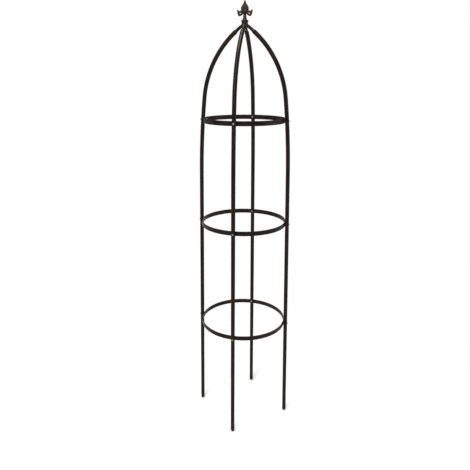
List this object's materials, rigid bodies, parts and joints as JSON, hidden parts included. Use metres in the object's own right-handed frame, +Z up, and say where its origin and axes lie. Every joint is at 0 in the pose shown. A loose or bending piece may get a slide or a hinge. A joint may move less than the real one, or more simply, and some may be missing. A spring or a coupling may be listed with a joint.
{
  "type": "garden obelisk",
  "caption": "Tall round garden obelisk for climbing plants: slim tube legs bent into a pointed dome, flat hoops inside them, fleur-de-lis finial.",
  "frame": {"origin": "on the ground plane, at the middle of the leg tips", "axes": "+Z up through the finial; -Y front, between front_left and front_right legs; +X right. The legs are on the diagonals."},
  "size_m": [0.376, 0.376, 1.8114],
  "materials": {
    "tube_paint": "dark brown satin powder coat on steel tube",
    "hoop_paint": "dark brown satin powder coat on steel flat bar",
    "hub_paint": "dark brown powder coat on a casting",
    "finial_cast": "brown-black painted casting, rubbed lighter on its edges",
    "fixing_zinc": "zinc plated, dull"
  },
  "bodies": {
    "root": {"finial": "finial_cast", "crown_hub": "hub_paint", "crown_washer": "fixing_zinc", "crown_nut": "fixing_zinc", "arch_front_right": "tube_paint", "arch_back_right": "tube_paint", "arch_back_left": "tube_paint", "arch_front_left": "tube_paint", "upper_tube_front_right": "tube_paint", "upper_tube_back_right": "tube_paint", "upper_tube_back_left": "tube_paint", "upper_tube_front_left": "tube_paint", "lower_tube_front_right": "tube_paint", "lower_tube_back_right": "tube_paint", "lower_tube_back_left": "tube_paint", "lower_tube_front_left": "tube_paint", "leg_front_right": "tube_paint", "leg_back_right": "tube_paint", "leg_back_left": "tube_paint", "leg_front_left": "tube_paint", "hoop_bottom": "hoop_paint", "hoop_middle": "hoop_paint", "hoop_top": "hoop_paint", "hoop_screw_bottom_front_right": "fixing_zinc", "hoop_screw_bottom_back_right": "fixing_zinc", "hoop_screw_bottom_back_left": "fixing_zinc", "hoop_screw_bottom_front_left": "fixing_zinc", "hoop_screw_middle_front_right": "fixing_zinc", "hoop_screw_middle_back_right": "fixing_zinc", "hoop_screw_middle_back_left": "fixing_zinc", "hoop_screw_middle_front_left": "fixing_zinc", "hoop_screw_top_front_right": "fixing_zinc", "hoop_screw_top_back_right": "fixing_zinc", "hoop_screw_top_back_left": "fixing_zinc", "hoop_screw_top_front_left": "fixing_zinc", "hoop_nut_bottom_front_right": "fixing_zinc", "hoop_nut_bottom_back_right": "fixing_zinc", "hoop_nut_bottom_back_left": "fixing_zinc", "hoop_nut_bottom_front_left": "fixing_zinc", "hoop_nut_middle_front_right": "fixing_zinc", "hoop_nut_middle_back_right": "fixing_zinc", "hoop_nut_middle_back_left": "fixing_zinc", "hoop_nut_middle_front_left": "fixing_zinc", "hoop_nut_top_front_right": "fixing_zinc", "hoop_nut_top_back_right": "fixing_zinc", "hoop_nut_top_back_left": "fixing_zinc", "hoop_nut_top_front_left": "fixing_zinc"}
  },
  "joints": []
}
